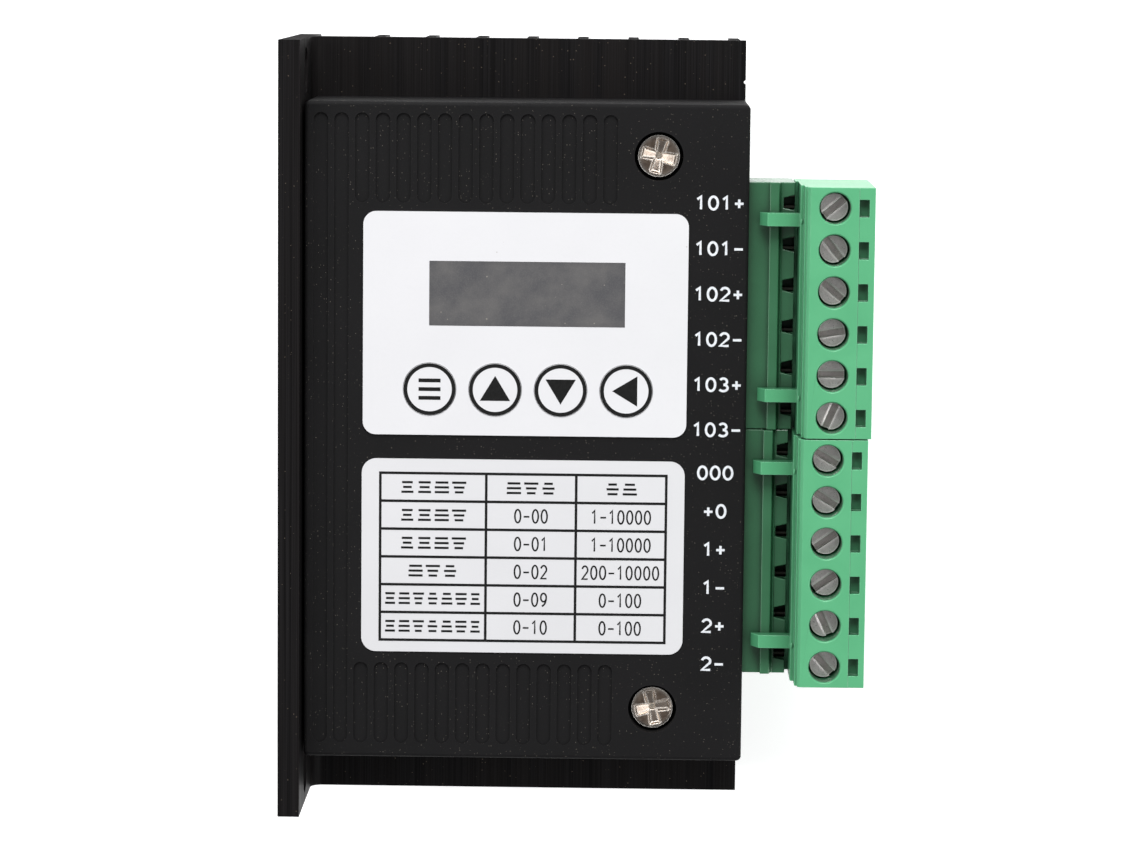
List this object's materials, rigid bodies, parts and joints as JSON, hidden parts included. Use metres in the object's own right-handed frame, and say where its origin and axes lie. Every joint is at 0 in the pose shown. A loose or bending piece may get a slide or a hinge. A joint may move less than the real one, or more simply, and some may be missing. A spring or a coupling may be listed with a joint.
{
  "type": "stepper driver module",
  "caption": "Compact stepper driver: finned heat sink with a slotted side flange, flat black cover, keypad with a small display, and pluggable screw terminals along one side.",
  "frame": {"origin": "centre of the footprint, at the level of the fin tips the unit lies on", "axes": "+Z out of the cover's face, +Y along the heat sink towards the signal plug, +X from the mounting flange to the terminals"},
  "size_m": [0.0724, 0.0958, 0.0372],
  "materials": {
    "anodised_aluminium": "black anodised, drawn along the extrusion",
    "black_abs": "fine textured moulding",
    "black_nylon": "matt moulding",
    "capacitor_can": "bright can",
    "chip_epoxy": "moulded epoxy",
    "dark_green_polyamide": "satin moulding",
    "digit_case": "matt moulding",
    "digit_segment": "milky diffuser, unlit",
    "green_laminate": "solder mask over glass laminate",
    "green_polyamide": "satin moulding",
    "label_film": "satin printed label",
    "nickel_steel": "bright nickel plate",
    "nylon_spacer": "natural nylon",
    "smoked_window": "smoked, translucent",
    "thermal_silicone": "soft filled silicone",
    "tinned_brass": "bright tin plate",
    "white_film": "satin printed film",
    "zinc_steel": "zinc plated"
  },
  "bodies": {
    "unit": {"heatsink": "anodised_aluminium", "cover": "black_abs", "keypad_overlay": "white_film", "display_window": "smoked_window", "parameter_label": "label_film", "tact_switch_bodies": "black_nylon", "display_module": "digit_case", "display_segments": "digit_segment", "ui_board": "green_laminate", "board_connector": "black_nylon", "main_board": "green_laminate", "signal_header": "dark_green_polyamide", "signal_header_pins": "tinned_brass", "power_header": "dark_green_polyamide", "power_header_pins": "tinned_brass", "cover_screws": "nickel_steel", "board_screws": "zinc_steel", "board_standoffs": "nylon_spacer", "driver_chip": "chip_epoxy", "thermal_pad": "thermal_silicone", "controller_chip": "chip_epoxy", "bulk_capacitors": "capacitor_can", "optocouplers": "chip_epoxy"},
    "signal_plug": {"signal_plug": "green_polyamide", "signal_plug_contacts": "tinned_brass"},
    "power_plug": {"power_plug": "green_polyamide", "power_plug_contacts": "tinned_brass"},
    "screw_01": {"terminal_screw_01": "zinc_steel"},
    "clamp_01": {"clamp_cage_01": "tinned_brass"},
    "screw_02": {"terminal_screw_02": "zinc_steel"},
    "clamp_02": {"clamp_cage_02": "tinned_brass"},
    "screw_03": {"terminal_screw_03": "zinc_steel"},
    "clamp_03": {"clamp_cage_03": "tinned_brass"},
    "screw_04": {"terminal_screw_04": "zinc_steel"},
    "clamp_04": {"clamp_cage_04": "tinned_brass"},
    "screw_05": {"terminal_screw_05": "zinc_steel"},
    "clamp_05": {"clamp_cage_05": "tinned_brass"},
    "screw_06": {"terminal_screw_06": "zinc_steel"},
    "clamp_06": {"clamp_cage_06": "tinned_brass"},
    "screw_07": {"terminal_screw_07": "zinc_steel"},
    "clamp_07": {"clamp_cage_07": "tinned_brass"},
    "screw_08": {"terminal_screw_08": "zinc_steel"},
    "clamp_08": {"clamp_cage_08": "tinned_brass"},
    "screw_09": {"terminal_screw_09": "zinc_steel"},
    "clamp_09": {"clamp_cage_09": "tinned_brass"},
    "screw_10": {"terminal_screw_10": "zinc_steel"},
    "clamp_10": {"clamp_cage_10": "tinned_brass"},
    "screw_11": {"terminal_screw_11": "zinc_steel"},
    "clamp_11": {"clamp_cage_11": "tinned_brass"},
    "screw_12": {"terminal_screw_12": "zinc_steel"},
    "clamp_12": {"clamp_cage_12": "tinned_brass"},
    "key_menu": {"key_menu": "white_film", "tact_plunger_menu": "black_nylon"},
    "key_up": {"key_up": "white_film", "tact_plunger_up": "black_nylon"},
    "key_down": {"key_down": "white_film", "tact_plunger_down": "black_nylon"},
    "key_left": {"key_left": "white_film", "tact_plunger_left": "black_nylon"}
  },
  "joints": [
    {"name": "signal_plug_slide", "type": "slide", "parent": "unit", "child": "signal_plug", "axis": [1, 0, 0], "range_m": [0, 0.012]},
    {"name": "power_plug_slide", "type": "slide", "parent": "unit", "child": "power_plug", "axis": [1, 0, 0], "range_m": [0, 0.012]},
    {"name": "screw_01_turn", "type": "hinge", "parent": "signal_plug", "child": "screw_01", "pos_m": [0.0313, 0.02848, 0.033], "axis": [0, 0, 1], "range_deg": [0, 1800]},
    {"name": "clamp_01_rise", "type": "slide", "parent": "signal_plug", "child": "clamp_01", "axis": [0, 0, 1], "range_m": [0, 0.0025]},
    {"name": "screw_02_turn", "type": "hinge", "parent": "signal_plug", "child": "screw_02", "pos_m": [0.0313, 0.0234, 0.033], "axis": [0, 0, 1], "range_deg": [0, 1800]},
    {"name": "clamp_02_rise", "type": "slide", "parent": "signal_plug", "child": "clamp_02", "axis": [0, 0, 1], "range_m": [0, 0.0025]},
    {"name": "screw_03_turn", "type": "hinge", "parent": "signal_plug", "child": "screw_03", "pos_m": [0.0313, 0.01832, 0.033], "axis": [0, 0, 1], "range_deg": [0, 1800]},
    {"name": "clamp_03_rise", "type": "slide", "parent": "signal_plug", "child": "clamp_03", "axis": [0, 0, 1], "range_m": [0, 0.0025]},
    {"name": "screw_04_turn", "type": "hinge", "parent": "signal_plug", "child": "screw_04", "pos_m": [0.0313, 0.01324, 0.033], "axis": [0, 0, 1], "range_deg": [0, 1800]},
    {"name": "clamp_04_rise", "type": "slide", "parent": "signal_plug", "child": "clamp_04", "axis": [0, 0, 1], "range_m": [0, 0.0025]},
    {"name": "screw_05_turn", "type": "hinge", "parent": "signal_plug", "child": "screw_05", "pos_m": [0.0313, 0.00816, 0.033], "axis": [0, 0, 1], "range_deg": [0, 1800]},
    {"name": "clamp_05_rise", "type": "slide", "parent": "signal_plug", "child": "clamp_05", "axis": [0, 0, 1], "range_m": [0, 0.0025]},
    {"name": "screw_06_turn", "type": "hinge", "parent": "signal_plug", "child": "screw_06", "pos_m": [0.0313, 0.00308, 0.033], "axis": [0, 0, 1], "range_deg": [0, 1800]},
    {"name": "clamp_06_rise", "type": "slide", "parent": "signal_plug", "child": "clamp_06", "axis": [0, 0, 1], "range_m": [0, 0.0025]},
    {"name": "screw_07_turn", "type": "hinge", "parent": "power_plug", "child": "screw_07", "pos_m": [0.03095, -0.0021, 0.033], "axis": [0, 0, 1], "range_deg": [0, 1800]},
    {"name": "clamp_07_rise", "type": "slide", "parent": "power_plug", "child": "clamp_07", "axis": [0, 0, 1], "range_m": [0, 0.0025]},
    {"name": "screw_08_turn", "type": "hinge", "parent": "power_plug", "child": "screw_08", "pos_m": [0.03095, -0.00718, 0.033], "axis": [0, 0, 1], "range_deg": [0, 1800]},
    {"name": "clamp_08_rise", "type": "slide", "parent": "power_plug", "child": "clamp_08", "axis": [0, 0, 1], "range_m": [0, 0.0025]},
    {"name": "screw_09_turn", "type": "hinge", "parent": "power_plug", "child": "screw_09", "pos_m": [0.03095, -0.01226, 0.033], "axis": [0, 0, 1], "range_deg": [0, 1800]},
    {"name": "clamp_09_rise", "type": "slide", "parent": "power_plug", "child": "clamp_09", "axis": [0, 0, 1], "range_m": [0, 0.0025]},
    {"name": "screw_10_turn", "type": "hinge", "parent": "power_plug", "child": "screw_10", "pos_m": [0.03095, -0.01734, 0.033], "axis": [0, 0, 1], "range_deg": [0, 1800]},
    {"name": "clamp_10_rise", "type": "slide", "parent": "power_plug", "child": "clamp_10", "axis": [0, 0, 1], "range_m": [0, 0.0025]},
    {"name": "screw_11_turn", "type": "hinge", "parent": "power_plug", "child": "screw_11", "pos_m": [0.03095, -0.02242, 0.033], "axis": [0, 0, 1], "range_deg": [0, 1800]},
    {"name": "clamp_11_rise", "type": "slide", "parent": "power_plug", "child": "clamp_11", "axis": [0, 0, 1], "range_m": [0, 0.0025]},
    {"name": "screw_12_turn", "type": "hinge", "parent": "power_plug", "child": "screw_12", "pos_m": [0.03095, -0.0275, 0.033], "axis": [0, 0, 1], "range_deg": [0, 1800]},
    {"name": "clamp_12_rise", "type": "slide", "parent": "power_plug", "child": "clamp_12", "axis": [0, 0, 1], "range_m": [0, 0.0025]},
    {"name": "key_menu_press", "type": "slide", "parent": "unit", "child": "key_menu", "axis": [0, 0, -1], "range_m": [0, 0.0003], "stiffness_N_per_m": 400, "springref_m": -0.0001},
    {"name": "key_up_press", "type": "slide", "parent": "unit", "child": "key_up", "axis": [0, 0, -1], "range_m": [0, 0.0003], "stiffness_N_per_m": 400, "springref_m": -0.0001},
    {"name": "key_down_press", "type": "slide", "parent": "unit", "child": "key_down", "axis": [0, 0, -1], "range_m": [0, 0.0003], "stiffness_N_per_m": 400, "springref_m": -0.0001},
    {"name": "key_left_press", "type": "slide", "parent": "unit", "child": "key_left", "axis": [0, 0, -1], "range_m": [0, 0.0003], "stiffness_N_per_m": 400, "springref_m": -0.0001}
  ],
  "couplings": [
    {"joint": "screw_01_turn", "follows": "clamp_01_rise", "rad_per_m": 12566},
    {"joint": "screw_02_turn", "follows": "clamp_02_rise", "rad_per_m": 12566},
    {"joint": "screw_03_turn", "follows": "clamp_03_rise", "rad_per_m": 12566},
    {"joint": "screw_04_turn", "follows": "clamp_04_rise", "rad_per_m": 12566},
    {"joint": "screw_05_turn", "follows": "clamp_05_rise", "rad_per_m": 12566},
    {"joint": "screw_06_turn", "follows": "clamp_06_rise", "rad_per_m": 12566},
    {"joint": "screw_07_turn", "follows": "clamp_07_rise", "rad_per_m": 12566},
    {"joint": "screw_08_turn", "follows": "clamp_08_rise", "rad_per_m": 12566},
    {"joint": "screw_09_turn", "follows": "clamp_09_rise", "rad_per_m": 12566},
    {"joint": "screw_10_turn", "follows": "clamp_10_rise", "rad_per_m": 12566},
    {"joint": "screw_11_turn", "follows": "clamp_11_rise", "rad_per_m": 12566},
    {"joint": "screw_12_turn", "follows": "clamp_12_rise", "rad_per_m": 12566}
  ]
}
